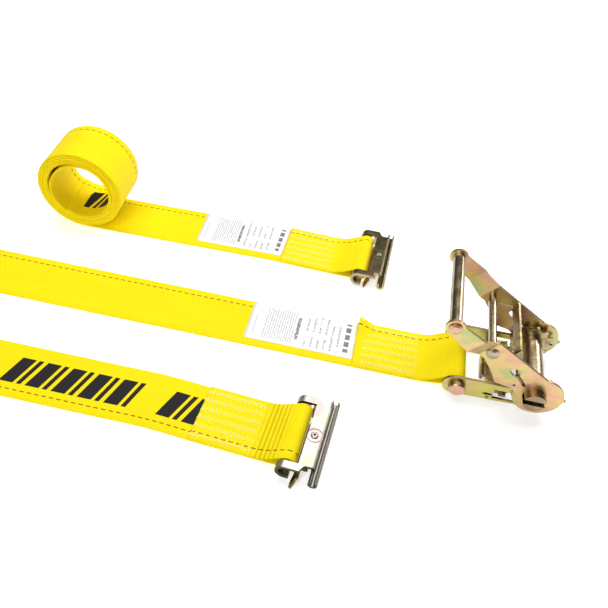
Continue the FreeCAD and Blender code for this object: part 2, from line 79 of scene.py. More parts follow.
# --- node helpers ---------------------------------------------------------------------------
class Nodes:
    """Short calls for building a material's node tree."""

    def __init__(self, name):
        self.mat = bpy.data.materials.new(name)
        self.mat.use_nodes = True
        self.tree = self.mat.node_tree
        self.shader = self.tree.nodes["Principled BSDF"]

    def node(self, kind, **settings):
        made = self.tree.nodes.new("ShaderNode" + kind)
        for key, value in settings.items():
            setattr(made, key, value)
        return made

    def put(self, socket, value):
        if isinstance(value, bpy.types.NodeSocket):
            self.tree.links.new(value, socket)
        elif value is not None:
            socket.default_value = value

    def math(self, op, a, b=None, c=None, clamp=False):
        made = self.node("Math", operation=op, use_clamp=clamp)
        for socket, value in zip(made.inputs, (a, b, c)):
            self.put(socket, value)
        return made.outputs[0]

    def mix(self, factor, a, b, blend="MIX"):
        made = self.node("Mix", data_type="RGBA", blend_type=blend)
        self.put(made.inputs["Factor"], factor)
        self.put(made.inputs[6], a)
        self.put(made.inputs[7], b)
        return made.outputs[2]

    def noise(self, vector, scale, detail=3.0, rough=0.5):
        made = self.node("TexNoise")
        self.put(made.inputs["Vector"], vector)
        made.inputs["Scale"].default_value = scale
        made.inputs["Detail"].default_value = detail
        made.inputs["Roughness"].default_value = rough
        return made.outputs["Fac"]

    def scaled(self, vector, factors):
        made = self.node("VectorMath", operation="MULTIPLY")
        self.put(made.inputs[0], vector)
        made.inputs[1].default_value = factors
        return made.outputs[0]

    def ramp(self, value, stops, smooth=True):
        made = self.node("ValToRGB")
        made.color_ramp.interpolation = "EASE" if smooth else "LINEAR"
        elements = made.color_ramp.elements
        while len(elements) < len(stops):
            elements.new(0.5)
        for element, (place, colour) in zip(elements, stops):
            element.position = place
            element.color = colour
        self.put(made.inputs[0], value)
        return made.outputs[0]

    def between(self, value, low, high, soft=0.0):
        """1 where value lies from low to high, with soft edges."""
        if soft <= 0:
            above = self.math("GREATER_THAN", value, low)
            below = self.math("LESS_THAN", value, high)
            return self.math("MULTIPLY", above, below)
        up = self.math("MULTIPLY_ADD", value, 1 / soft, -low / soft + 0.5, clamp=True)
        down = self.math("MULTIPLY_ADD", value, -1 / soft, high / soft + 0.5, clamp=True)
        return self.math("MULTIPLY", up, down)

    def either(self, *masks):
        result = masks[0]
        for mask in masks[1:]:
            result = self.math("MAXIMUM", result, mask)
        return result

    def strap_uv(self):
        """Length along the strap and distance from its tracer edge, in metres."""
        uv = self.node("UVMap", uv_map="strap").outputs[0]
        parts = self.node("SeparateXYZ")
        self.put(parts.inputs[0], uv)
        return parts.outputs[0], parts.outputs[1]

    def bump(self, height, strength, distance, below=None):
        made = self.node("Bump")
        made.inputs["Strength"].default_value = strength
        made.inputs["Distance"].default_value = distance
        self.put(made.inputs["Height"], height)
        self.put(made.inputs["Normal"], below)
        return made.outputs[0]

    def finish(self, colour, rough, normal=None, **sockets):
        self.put(self.shader.inputs["Base Color"], colour)
        self.put(self.shader.inputs["Roughness"], rough)
        self.put(self.shader.inputs["Normal"], normal)
        for key, value in sockets.items():
            self.put(self.shader.inputs[key.replace("_", " ")], value)
        return self.mat


# --- materials: webbing, thread and labels --------------------------------------------------
YELLOW = (0.97, 0.80, 0.0006, 1)
YELLOW_DEEP = (0.80, 0.57, 0.0004, 1)
TRACER = (0.22, 0.10, 0.004, 1)
INK = (0.018, 0.016, 0.018, 1)
PLEAT_SHADE = (0.55, 0.38, 0.0004, 1)
RIB_PITCH, WARP_PITCH, DASH_PITCH = 1.9 * MM, 1.15 * MM, 5.9 * MM
TRACER_BAND = (6.5 * MM, 7.5 * MM)                  # from the tracer edge
PLEAT_PITCH, PLEAT_SKEW = 3.7 * MM, 25.0
BAR_PITCH, BAR_GROUP, BAR_SLANT = 21 * MM, 126 * MM, -0.32
BAR_BAND = (13 * MM, 38 * MM)                       # from the tracer edge


def webbing_material(name, print_spans, patch=None, pleats=(), start=0.0):
    """Woven polyester: cross ribs, fine warp, a dashed tracer yarn and printed slanted bars.

    print_spans, patch and pleats are stretches of length along the strap. The bars count from start.
    """
    n = Nodes(name)
    along, across = n.strap_uv()
    rib_phase = n.math("MULTIPLY", along, 2 * math.pi / RIB_PITCH)
    warp_phase = n.math("MULTIPLY", across, 2 * math.pi / WARP_PITCH)
    rib = n.math("SINE", rib_phase)
    warp = n.math("SINE", warp_phase)
    twill_phase = n.math("ADD", n.math("MULTIPLY", rib_phase, 0.5), n.math("MULTIPLY", warp_phase, 0.5))
    twill = n.math("SINE", twill_phase)
    uv = n.node("UVMap", uv_map="strap").outputs[0]
    fibre = n.noise(n.scaled(uv, (900, 6000, 1)), 1.0, 2.0)
    cloud = n.noise(n.scaled(uv, (22, 60, 1)), 1.0, 3.0)
    height = n.math("ADD", n.math("MULTIPLY", rib, 0.42), n.math("MULTIPLY", warp, 0.2))
    height = n.math("ADD", height, n.math("MULTIPLY", twill, 0.12))
    height = n.math("ADD", height, n.math("MULTIPLY", fibre, 0.35))
    # painted shade: the weave's grooves darken towards YELLOW_DEEP, added to the cloud's random tone
    groove_shade = n.math("MULTIPLY_ADD", height, -0.5, 0.42, clamp=True)
    tone_and_groove_shade = n.math("MULTIPLY_ADD", cloud, 0.5, n.math("MULTIPLY", groove_shade, 0.35), clamp=True)
    colour = n.mix(n.math("MULTIPLY", tone_and_groove_shade, 0.75), YELLOW, YELLOW_DEEP)
    if pleats:
        fold_phase = n.math("MULTIPLY", along, 2 * math.pi / PLEAT_PITCH)
        fold = n.math("SINE", n.math("MULTIPLY_ADD", across, PLEAT_SKEW, fold_phase))
        uneven = n.noise(n.scaled(uv, (240, 14, 1)), 1.0, 1.0)
        near_eye = n.either(*[n.between(along, low, high, 6 * MM) for low, high in pleats])
        fold = n.math("MULTIPLY", n.math("MULTIPLY", fold, uneven), near_eye)
        colour = n.mix(n.math("MULTIPLY", fold, -1.3, clamp=True), colour, PLEAT_SHADE)
        height = n.math("MULTIPLY_ADD", fold, 3.2, height)
    dash = n.math("LESS_THAN", n.math("FRACT", n.math("MULTIPLY", along, 1 / DASH_PITCH)), 0.6)
    tracer = n.math("MULTIPLY", dash, n.between(across, *TRACER_BAND, 0.25 * MM))
    colour = n.mix(tracer, colour, TRACER)
    if print_spans:
        colour = n.mix(printed_bars(n, along, across, fibre, print_spans, start), colour, INK)
    if patch:
        inside = n.math("MULTIPLY", n.between(along, patch[0], patch[1], 0.4 * MM),
                        n.between(across, 9 * MM, 24 * MM, 0.4 * MM))
        colour = n.mix(inside, colour, (0.8, 0.78, 0.7, 1))
    rough = n.math("MULTIPLY_ADD", fibre, 0.2, 0.52)
    return n.finish(colour, rough, n.bump(height, 0.55, 0.22 * MM), Sheen_Weight=0.03,
                    Specular_IOR_Level=0.12)


def printed_bars(n, along, across, fibre, spans, start):
    """Groups of bold slanted bars, broken a little by the weave."""
    slant = n.math("ADD", n.math("MULTIPLY_ADD", across, BAR_SLANT, along), -start)
    cell = n.math("FRACT", n.math("MULTIPLY", slant, 1 / BAR_PITCH))
    group = n.math("FRACT", n.math("MULTIPLY", slant, 1 / BAR_GROUP))
    wide = n.between(cell, 0.08, 0.62, 0.02)
    narrow = n.between(cell, 0.74, 0.92, 0.02)
    bars = n.either(wide, narrow)
    bars = n.math("MULTIPLY", bars, n.math("LESS_THAN", group, 0.834))
    band = n.between(across, *BAR_BAND, 0.3 * MM)
    zone = n.either(*[n.between(along, low, high) for low, high in spans])
    worn = n.math("LESS_THAN", fibre, 0.76)
    return n.math("MULTIPLY", n.math("MULTIPLY", bars, band), n.math("MULTIPLY", zone, worn))


def thread_material():
    n = Nodes("stitch_thread")
    place = n.node("TexCoord").outputs["Object"]
    twist = n.node("TexWave", wave_type="BANDS", bands_direction="DIAGONAL")
    n.put(twist.inputs["Vector"], place)
    twist.inputs["Scale"].default_value = 900
    twist.inputs["Distortion"].default_value = 1.5
    mottle = n.noise(place, 260, 2.0)
    colour = n.mix(mottle, (0.95, 0.86, 0.34, 1), (0.96, 0.92, 0.66, 1))
    return n.finish(colour, 0.5, n.bump(twist.outputs["Fac"], 0.5, 0.1 * MM), Sheen_Weight=0.2)


def label_material(name, length):
    """White printed label: rules and broken lines of marks across the strap, and a heavy block."""
    n = Nodes(name)
    along, across = n.strap_uv()
    share = n.math("MULTIPLY", along, 1 / length)
    uv = n.node("UVMap", uv_map="strap").outputs[0]
    fine_row = n.math("LESS_THAN", n.math("FRACT", n.math("MULTIPLY", along, 1 / (2.05 * MM))), 0.36)
    wide_row = n.math("LESS_THAN", n.math("FRACT", n.math("MULTIPLY", along, 1 / (5.6 * MM))), 0.3)
    words = n.noise(n.scaled(uv, (490, 900, 1)), 1.0, 1.0)
    gaps = n.noise(n.scaled(uv, (180, 95, 1)), 1.0, 0.0)
    marks = n.math("GREATER_THAN", words, 0.44)
    broken = n.math("MULTIPLY", marks, n.math("GREATER_THAN", gaps, 0.42))
    inside = n.between(across, 4 * MM, 40 * MM)
    fine = n.math("MULTIPLY", n.math("MULTIPLY", fine_row, marks), n.between(share, 0.15, 0.43))
    sparse = n.math("MULTIPLY", n.math("MULTIPLY", wide_row, broken), n.between(share, 0.50, 0.86))
    heading = n.math("MULTIPLY", n.between(share, 0.445, 0.475), n.math("GREATER_THAN", words, 0.40))
    heading = n.math("MULTIPLY", heading, n.between(across, 9 * MM, 35 * MM))
    block_cell = n.math("FRACT", n.math("MULTIPLY", across, 1 / (8.2 * MM)))
    block = n.math("MULTIPLY", n.between(share, 0.90, 0.945), n.between(block_cell, 0.16, 0.86))
    block = n.math("MULTIPLY", block, n.between(across, 5 * MM, 38 * MM))
    rule = n.math("MULTIPLY", n.between(share, 0.058, 0.066), n.between(across, 14 * MM, 36 * MM))
    grey = n.math("MULTIPLY", inside, n.either(fine, sparse))
    cloud = n.noise(n.scaled(uv, (60, 90, 1)), 1.0, 2.0)
    colour = n.mix(cloud, (0.80, 0.80, 0.82, 1), (0.90, 0.90, 0.90, 1))
    colour = n.mix(n.math("MULTIPLY", grey, 0.62), colour, (0.16, 0.16, 0.18, 1))
    colour = n.mix(n.math("MULTIPLY", n.either(heading, block), 0.85), colour, (0.07, 0.07, 0.08, 1))
    colour = n.mix(n.math("MULTIPLY", rule, 0.6), colour, (0.25, 0.3, 0.6, 1))
    threads = [n.math("SINE", n.math("MULTIPLY", way, 9000)) for way in (along, across)]
    weave = n.math("MULTIPLY", *threads)
    return n.finish(colour, 0.42, n.bump(weave, 0.12, 0.05 * MM), Specular_IOR_Level=0.4)


# --- materials: metal -----------------------------------------------------------------------
def plated_material(name, tints, rough=0.26, film=0.9, scale=38, side=None, depth=0.85, axis=2):
    """Yellow zinc plate: tints that drift like an oil film over worn, faintly brushed steel.

    Faces that turn away from the given axis of the piece, such as cut edges, take the side tint: a painted
    shade where it is darker than the plate, a painted light where it is paler.
    """
    n = Nodes(name)
    place = n.node("TexCoord").outputs["Object"]
    drift = n.noise(place, scale, 2.0, 0.55)
    wander = n.noise(n.scaled(place, (1, 1.4, 2.2)), scale * 2.4, 2.0)
    value = n.math("MULTIPLY_ADD", wander, 0.35, n.math("MULTIPLY", drift, 0.75))
    stops = [(0.30 + 0.42 * i / (len(tints) - 1), tuple(tint) + (1,)) for i, tint in enumerate(tints)]
    colour = n.ramp(value, stops)
    grain = n.noise(n.scaled(place, (700, 2600, 700)), 1.0, 2.0)
    speck = n.noise(place, 900, 3.0)
    colour = n.mix(n.math("MULTIPLY", grain, 0.18), colour, (0.35, 0.3, 0.2, 1))
    colour = n.mix(1 - film, colour, (0.72, 0.7, 0.66, 1))
    # painted shade on faces turned away from the axis; where the side tint is paler than the plate it is
    # painted light
    if side:
        parts = n.node("SeparateXYZ")
        n.put(parts.inputs[0], n.node("TexCoord").outputs["Normal"])
        side_shading = n.math("MULTIPLY_ADD", n.math("ABSOLUTE", parts.outputs[axis]), -2.2, 1.75, clamp=True)
        colour = n.mix(n.math("MULTIPLY", side_shading, depth), colour, tuple(side) + (1,))
    smear = n.noise(place, 120, 3.0)
    shine = n.math("MULTIPLY_ADD", smear, 0.22, rough - 0.06)
    shine = n.math("MULTIPLY_ADD", grain, 0.08, shine)
    edge = n.node("Bevel", samples=4)
    edge.inputs["Radius"].default_value = 0.45 * MM
    relief = n.math("ADD", n.math("MULTIPLY", grain, 0.5), n.math("MULTIPLY", speck, 0.5))
    wavy = n.bump(n.noise(place, 55, 1.0), 0.25, 0.6 * MM, edge.outputs[0])
    return n.finish(colour, shine, n.bump(relief, 0.16, 0.06 * MM, wavy), Metallic=1.0,
                    Coat_Weight=0.12, Coat_Roughness=0.12)


GOLD, PINK, GREEN = (0.66, 0.48, 0.17), (0.66, 0.36, 0.25), (0.42, 0.47, 0.18)
LEMON, PALE, BRASS = (0.60, 0.53, 0.12), (0.76, 0.75, 0.66), (0.50, 0.40, 0.22)
BRONZE, OLIVE, COPPER = (0.18, 0.115, 0.05), (0.17, 0.16, 0.08), (0.42, 0.16, 0.05)
TAN, STEEL, UMBER = (0.56, 0.42, 0.20), (0.42, 0.36, 0.26), (0.26, 0.185, 0.095)
MOSS, SILVER = (0.05, 0.052, 0.012), (0.37, 0.36, 0.32)
BLUSH, STRAW = (0.40, 0.30, 0.29), (0.36, 0.37, 0.22)


def metal_set():
    """Metals by name: tints, roughness, film, scale of the drift, and the tint of turned faces, a painted
    shade (a painted light on the dark fitting).
    """
    kinds = {
        # side tints BRONZE and MOSS are painted shade on turned faces; BRASS on the dark fitting is
        # painted light
        "handle": ("plated_handle", (PINK, GREEN, GOLD, PINK, LEMON), 0.30, 0.97, 30, BRONZE, 0.85, 1),
        "frame": ("plated_frame", (GREEN, LEMON, LEMON, TAN), 0.27, 0.97, 34, BRONZE, 0.85, 1),
        "bright": ("plated_bright", (UMBER, STEEL, UMBER, BRONZE), 0.14, 0.97, 26),
        "spool": ("plated_spool", (UMBER, STEEL, UMBER, BRONZE), 0.16, 0.97, 30),
        "head": ("plated_head", (PINK, TAN, PINK, TAN), 0.24, 0.97, 60, BRONZE, 0.85, 1),
        "wheel": ("plated_wheel", (BRONZE, UMBER, TAN, BRONZE), 0.22, 0.97, 60),
        "pawl": ("plated_pawl", (UMBER, LEMON, BRONZE, UMBER), 0.2, 0.97, 40),
        "pale_fit": ("plated_pale", (SILVER, BLUSH, SILVER, STRAW), 0.30, 0.99, 45, MOSS, 1.0),
        "dark_fit": ("plated_dark", (OLIVE, BRONZE, OLIVE, BRONZE), 0.22, 0.99, 90, BRASS, 0.7),
        "silver": ("plated_silver", (PALE, STEEL, PALE), 0.2, 0.97, 120),
        "copper": ("plated_copper", (COPPER, TAN, COPPER), 0.2, 1.0, 60),
        "spring": ("spring_wire", (BRONZE, TAN, BRONZE), 0.3, 0.97, 120),
    }
    return {key: plated_material(*kind) for key, kind in kinds.items()}


# --- webbing geometry -----------------------------------------------------------------------
def turned(point, pivot, deg):
    return Matrix.Rotation(math.radians(deg), 4, "Z") @ (point - pivot) + pivot


def straight(a, b, step):
    """Points from a towards b, without b."""
    count = max(1, round((b - a).length / step))
    return [a.lerp(b, i / count) for i in range(count)]


def touch_angle(px, pz, cx, cz, r, side):
    """Angle on a circle where the line from a point outside it touches."""
    reach = math.hypot(px - cx, pz - cz)
    return math.atan2(pz - cz, px - cx) + side * math.acos(r / reach)


def sewn_profile(flap_x, eye_x, bar_x, bar_z, bar_r, gap=EYE_GAP):
    """Centre line of a sewn end in its own (x, z) plane: flap, round the bar, and back below."""
    r = bar_r + gap + WEB_T / 2
    high, low = 1.5 * WEB_T, 0.5 * WEB_T
    a_high = touch_angle(eye_x, high, bar_x, bar_z, r, -1)
    a_low = touch_angle(eye_x, low, bar_x, bar_z, r, 1) - 2 * math.pi

    def on(angle):
        return Vector((bar_x + r * math.cos(angle), 0, bar_z + r * math.sin(angle)))
    line = straight(Vector((flap_x, 0, high)), Vector((eye_x, 0, high)), 2 * MM)
    line += straight(Vector((eye_x, 0, high)), on(a_high), 1.2 * MM)
    turns = 26
    line += [on(a_high + (a_low - a_high) * i / turns) for i in range(turns)]
    line += straight(on(a_low), Vector((eye_x, 0, low)), 1.2 * MM)
    line += straight(Vector((eye_x, 0, low)), Vector((flap_x, 0, low)), 2 * MM)
    line.append(Vector((flap_x, 0, low)))
    free = [abs(p.x - eye_x) < 9 * MM for p in line]
    free[0] = free[-1] = False
    for _ in range(30):
        line = [(line[i - 1] + 2 * line[i] + line[i + 1]) / 4 if free[i] else line[i]
                for i in range(len(line))]
    return line


def smooth(t):
    t = min(1.0, max(0.0, t))
    return t * t * (3 - 2 * t)


def fixed_route():
    """(centre, direction to the tracer edge) from the ratchet's flap end to the fitting's."""
    up, far, near = Vector((0, 0, 1)), Vector((0, 1, 0)), Vector((0, -1, 0))
    route = [(p, far) for p in sewn_profile(FLAP_RATCHET, EYE_RATCHET, BOLT.x, BOLT.z, SLEEVE_R)]
    flat_z = WEB_T / 2
    route += [(p, far) for p in straight(Vector((FLAP_RATCHET - 2 * MM, 0, flat_z)),
                                         Vector((TWIST_X, 0, flat_z)), 4 * MM)]
    steps = 44
    for i in range(steps):
        phi = smooth(i / steps / 0.88) * math.pi / 2
        x = TWIST_X + (TURN_X - TWIST_X) * i / steps
        centre_z = HALF * math.sin(phi) + WEB_T / 2 * math.cos(phi)
        route.append((Vector((x, 0, centre_z)), far * math.cos(phi) + up * math.sin(phi)))
    bend = 48
    for i in range(bend + 1):
        a = math.pi / 2 + math.pi * i / bend
        centre = Vector((TURN_X + TURN_R * math.cos(a), LOW_Y / 2 + TURN_R * math.sin(a), HALF))
        route.append((centre, up))
    for i in range(1, steps + 1):
        phi = smooth((1 - i / steps) / 0.88) * math.pi / 2
        x = TURN_X + (TWIST_X - TURN_X) * i / steps
        centre_z = HALF * math.sin(phi) + WEB_T / 2 * math.cos(phi)
        route.append((Vector((x, LOW_Y, centre_z)), near * math.cos(phi) + up * math.sin(phi)))
    route += curved_run(Vector((TWIST_X, LOW_Y, flat_z)), LOW_PIVOT, 0.0, LOW_DEG, FLAP_LOW, near)
    end = reversed(sewn_profile(FLAP_LOW, EYE_LOW, RAIL_LOW, RAIL_Z, RAIL_R, EYE_SLACK))
    across = Matrix.Rotation(math.radians(LOW_DEG), 4, "Z") @ near
    shift = Vector((0, LOW_Y, 0))
    route += [(turned(p + shift, LOW_PIVOT, LOW_DEG), across) for p in end]
    return route


def curved_run(start, pivot, deg_a, deg_b, flap_x, side):
    """Flat run along heading a that eases through its pivot into heading b, up to the flap's end."""
    reach = flap_x - pivot.x
    out = []
    count = round((flap_x - start.x) / (4 * MM))
    for i in range(1, count):
        t = start.x + (flap_x - start.x) * i / count - pivot.x
        ease = smooth((t + reach) / (2 * reach))
        heading_a, heading_b = math.radians(deg_a), math.radians(deg_b)
        a = Vector((t * math.cos(heading_a), t * math.sin(heading_a), 0))
        b = Vector((t * math.cos(heading_b), t * math.sin(heading_b), 0))
        heading = heading_a + (heading_b - heading_a) * ease
        centre = Vector((pivot.x, pivot.y, start.z)) + a.lerp(b, ease)
        out.append((centre, Matrix.Rotation(heading, 4, "Z") @ side))
    return out


def long_route():
    """From the fitting's flap end along the run and round the roll to its inner end."""
    far = Vector((0, 1, 0))
    across = Matrix.Rotation(math.radians(LONG_DEG), 4, "Z") @ far
    shift = Vector((0, LONG_PIVOT.y, 0))
    end = sewn_profile(FLAP_LONG, EYE_LONG, RAIL_LONG, RAIL_Z, RAIL_R, EYE_SLACK)
    route = [(turned(p + shift, LONG_PIVOT, LONG_DEG), across) for p in end]
    start = Vector((ROLL_X, 0, WEB_T / 2))
    run = curved_run(start, LONG_PIVOT, LONG_RUN_DEG, LONG_DEG, FLAP_LONG, far)
    route += reversed(run)
    return route + roll_turns(far)


def roll_turns(far):
    """Close turns from the ground inwards; the last one sags away from the rest at the upper left."""
    pitch = WEB_T + 0.02 * MM
    across = Matrix.Rotation(math.radians(LONG_RUN_DEG), 4, "Z") @ far
    gap_at, gap_width, gap_depth = ROLL_TURNS - 0.71, 0.26, 3.0 * MM
    out = []
    angle = 0.0
    while angle < ROLL_TURNS:
        away = (angle - gap_at) / gap_width
        slack = gap_depth * math.cos(away * math.pi / 2) ** 2 if abs(away) < 1 else 0.0
        r = ROLL_R - WEB_T / 2 - pitch * angle - slack
        theta = -math.pi / 2 - 2 * math.pi * angle
        sway = 0.35 * MM * math.sin(angle * 4.1) + 0.3 * MM * math.sin(angle * 1.7 + 1)
        centre = Vector((ROLL_X + r * math.cos(theta), LONG_PIVOT.y + sway, ROLL_R + r * math.sin(theta)))
        out.append((turned(centre, LONG_PIVOT, LONG_RUN_DEG), across))
        angle += 2.4 * MM / (2 * math.pi * r)
    return out


def stations(route):
    """Adds tangent, face normal and length along to each (centre, across) of a route."""
    out = []
    length = 0.0
    for i, (centre, across) in enumerate(route):
        before = route[max(0, i - 1)][0]
        after = route[min(len(route) - 1, i + 1)][0]
        if i:
            length += (centre - before).length
        tangent = (after - before).normalized()
        across = (across - tangent * across.dot(tangent)).normalized()
        out.append((centre, across, across.cross(tangent), length))
    return out


def section(width, thick, columns):
    """Points round a strap's section as (across, normal, distance from the tracer edge)."""
    half, r = width / 2, thick / 2
    round_w = thick * 0.45
    points = []
    for side in (1, -1):
        for i in range(columns + 1):
            a = (half - round_w) * side * (1 - 2 * i / columns)
            points.append((a, side * r))
        for i in (1, 2, 3):
            turn = math.pi * i / 4
            points.append((-side * (half - round_w + round_w * math.sin(turn)), side * r * math.cos(turn)))
    return [(a, b, half - a) for a, b in points]


def strip_mesh(name, places, width, thick, materials, lift=0.0, offset=0.0, columns=10):
    """Closed thin strip along stations; faces on the print side use the second material."""
    ring = section(width, thick, columns)
    size = len(ring)
    verts, uvs = [], []
    for centre, across, normal, along in places:
        for a, b, v in ring:
            verts.append(centre + across * (a + offset) + normal * (b + lift))
            uvs.append((along, v))
    faces = []
    for i in range(len(places) - 1):
        for k in range(size):
            j = (k + 1) % size
            faces.append((i * size + k, i * size + j, (i + 1) * size + j, (i + 1) * size + k))
    faces.append(tuple(range(size - 1, -1, -1)))
    faces.append(tuple(range((len(places) - 1) * size, len(places) * size)))
    mesh = bpy.data.meshes.new(name)
    mesh.from_pydata(verts, [], faces)
    layer = mesh.uv_layers.new(name="strap")
    for poly in mesh.polygons:
        poly.use_smooth = len(poly.vertices) == 4
        for loop in poly.loop_indices:
            layer.data[loop].uv = uvs[mesh.loops[loop].vertex_index]
    for material in materials:
        mesh.materials.append(material)
    if len(materials) > 1:
        for index, poly in enumerate(mesh.polygons):
            if index % size < columns and len(poly.vertices) == 4:
                poly.material_index = 1
    mesh.validate()
    obj = bpy.data.objects.new(name, mesh)
    bpy.context.scene.collection.objects.link(obj)
    bpy.context.view_layer.objects.active = obj
    return outward(obj)


def outward(obj):
    """Turns every face outwards."""
    work = bmesh.new()
    work.from_mesh(obj.data)
    bmesh.ops.recalc_face_normals(work, faces=work.faces)
    work.to_mesh(obj.data)
    work.free()
    return obj


def stitches(name, flap_x, end_x, place, material, rows=6):
    """Zig-zag rows of thread on both faces of a sewn end."""
    curve = bpy.data.curves.new(name, "CURVE")
    curve.dimensions = "3D"
    curve.bevel_depth = 0.42 * MM
    curve.bevel_resolution = 1
    inset, pitch, swing = 5.2 * MM, 3.3 * MM, 4.3 * MM
    gap = (WEB_W - 2 * inset) / (rows - 1)
    for z in (2 * WEB_T + 0.05 * MM, 0.36 * MM):
        for row in range(rows):
            y = -HALF + inset + row * gap
            count = int((end_x - flap_x) / (pitch / 2))
            points = []
            for i in range(count + 1):
                x = flap_x + i * pitch / 2
                wobble = 0.55 * MM * math.sin(i * 2.3 + row * 1.7)
                dip = 0.32 * MM if i % 2 else 0.0
                points.append(place(Vector((x, y + swing * (i % 2 * 2 - 1) * 0.5 + wobble,
                                            z - dip * (1 if z > WEB_T else -0.3)))))
            spline = curve.splines.new("POLY")
            spline.points.add(len(points) - 1)
            for slot, p in zip(spline.points, points):
                slot.co = (p.x, p.y, p.z, 1)
    obj = bpy.data.objects.new(name, curve)
    curve.materials.append(material)
    bpy.context.scene.collection.objects.link(obj)
    return obj


def span(places, test):
    """The stretch of stations that passes a test, with lengths counted from its start."""
    kept = [p for p in places if test(p)]
    first = kept[0][3]
    return [(c, a, n, s - first) for c, a, n, s in kept]


def lift_corner(strap):
    """The flap's far corner at the ratchet stands up off the run below it."""
    rise, reach = 6.5 * MM, 15 * MM
    for vertex in strap.data.vertices:
        co = vertex.co
        near_end = FLAP_RATCHET - 0.5 * MM < co.x < FLAP_RATCHET + reach + 1 * MM
        if near_end and co.y > 0 and co.z > 1.02 * WEB_T:
            along = smooth((FLAP_RATCHET + reach - co.x) / reach)
            out = smooth((co.y - 4 * MM) / (21 * MM))
            co.z += rise * along * out


def build_webbing():
    thread = thread_material()
    fixed = stations(fixed_route())
    total = fixed[-1][3]
    low_start = total - 2 * (RAIL_LOW - FLAP_LOW) - 12 * MM     # where the run goes under its own flap
    eye_low = total - (EYE_LOW - FLAP_LOW)
    pleats = [(eye_low - 15 * MM, eye_low + 6 * MM)]
    plain = webbing_material("webbing_fixed", [], pleats=pleats)
    printed = webbing_material("webbing_fixed_print", [(low_start - 0.62, low_start + 0.03)],
                                start=-0.039)
    strap = strip_mesh("fixed_webbing", fixed, WEB_W, WEB_T, [plain, printed])
    lift_corner(strap)
    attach(strap, "fixed_strap")
    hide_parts("fixed_strap_ratchet_end", "fixed_strap_upper_run", "fixed_strap_upper_twist",
                "fixed_strap_turn", "fixed_strap_lower_twist", "fixed_strap_lower_run",
                "fixed_strap_fitting_end")
    sewn_a = stitches("fixed_stitching_ratchet", FLAP_RATCHET + 7 * MM, EYE_RATCHET, lambda p: p, thread)
    sewn_b = stitches("fixed_stitching_fitting", FLAP_LOW + 0 * MM, EYE_LOW + 8 * MM,
                      lambda p: turned(p + Vector((0, LOW_Y, 0)), LOW_PIVOT, LOW_DEG), thread)
    label = label_strip("fixed_label", fixed, -0.102, FLAP_RATCHET, 0, "fixed_strap_label")
    for piece in (sewn_a, sewn_b, label):
        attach(piece, "fixed_strap")

    long = stations(long_route())
    total = long[-1][3]
    printed = webbing_material("webbing_long_print", [(total - 0.060, total - 0.012)],
                               patch=(total - 0.118, total - 0.070), start=total - 0.052)
    strap = strip_mesh("long_webbing", long, WEB_W, WEB_T,
                       [webbing_material("webbing_long", []), printed])
    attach(strap, "long_strap")
    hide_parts("long_strap_run", "long_strap_roll", "long_strap_fitting_end")
    sewn = stitches("long_stitching", FLAP_LONG + 2 * MM, EYE_LONG + 4 * MM,
                    lambda p: turned(p + Vector((0, LONG_PIVOT.y, 0)), LONG_PIVOT, LONG_DEG), thread)
    label = label_strip("long_label", long, -0.177, FLAP_LONG, 0.05, "long_strap_label")
    for piece in (sewn, label):
        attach(piece, "long_strap")
    print("flat lengths", fixed[-1][3], long[-1][3])


def label_strip(name, places, x_low, x_high, y_low, node):
    """Printed label on the upper face of a run, flush with the tracer edge."""
    def on_run(station):
        centre, _, normal, _ = station
        lies_flat = normal.z > 0.9 and centre.z < 1.1 * WEB_T and centre.y > y_low - HALF
        return lies_flat and x_low <= centre.x <= x_high + 1 * MM
    kept = span(places, on_run)
    kept = [(c, a, n, kept[-1][3] - s) for c, a, n, s in kept]
    shift = (WEB_W - LABEL_W) / 2
    obj = strip_mesh(name, kept, LABEL_W, LABEL_T, [label_material(name + "_print", kept[0][3])],
                     lift=WEB_T / 2 + LABEL_T / 2, offset=shift, columns=6)
    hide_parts(node)
    return obj


# --- coil springs ---------------------------------------------------------------------------
def wire_mesh(name, points, radius, material, sides=7):
    """Closed round wire along a line of points."""
    verts, faces = [], []
    side_dir = None
    for i, point in enumerate(points):
        tangent = (points[min(i + 1, len(points) - 1)] - points[max(i - 1, 0)]).normalized()
        if side_dir is None:
            side_dir = tangent.orthogonal()
        side_dir = (side_dir - tangent * side_dir.dot(tangent)).normalized()
        up = tangent.cross(side_dir)
        for k in range(sides):
            a = 2 * math.pi * k / sides
            verts.append(point + side_dir * radius * math.cos(a) + up * radius * math.sin(a))
    for i in range(len(points) - 1):
        for k in range(sides):
            j = (k + 1) % sides
            faces.append((i * sides + k, i * sides + j, (i + 1) * sides + j, (i + 1) * sides + k))
    faces.append(tuple(range(sides - 1, -1, -1)))
    faces.append(tuple(range(len(verts) - sides, len(verts))))
    mesh = bpy.data.meshes.new(name)
    mesh.from_pydata(verts, [], faces)
    for poly in mesh.polygons:
        poly.use_smooth = len(poly.vertices) == 4
    mesh.materials.append(material)
    obj = bpy.data.objects.new(name, mesh)
    bpy.context.scene.collection.objects.link(obj)
    return outward(obj)


def helix(start, end, radius, turns, legs=()):
    """Points of a coil from start to end, with optional straight legs at both ends."""
    axis = (end - start).normalized()
    u = axis.orthogonal().normalized()
    v = axis.cross(u)
    count = int(turns * 18)
    points = []
    for i in range(count + 1):
        a = 2 * math.pi * turns * i / count
        points.append(start.lerp(end, i / count) + u * radius * math.cos(a) + v * radius * math.sin(a))
    if legs:
        points = [points[0] + Vector(legs[0])] + points + [points[-1] + Vector(legs[1])]
    return points


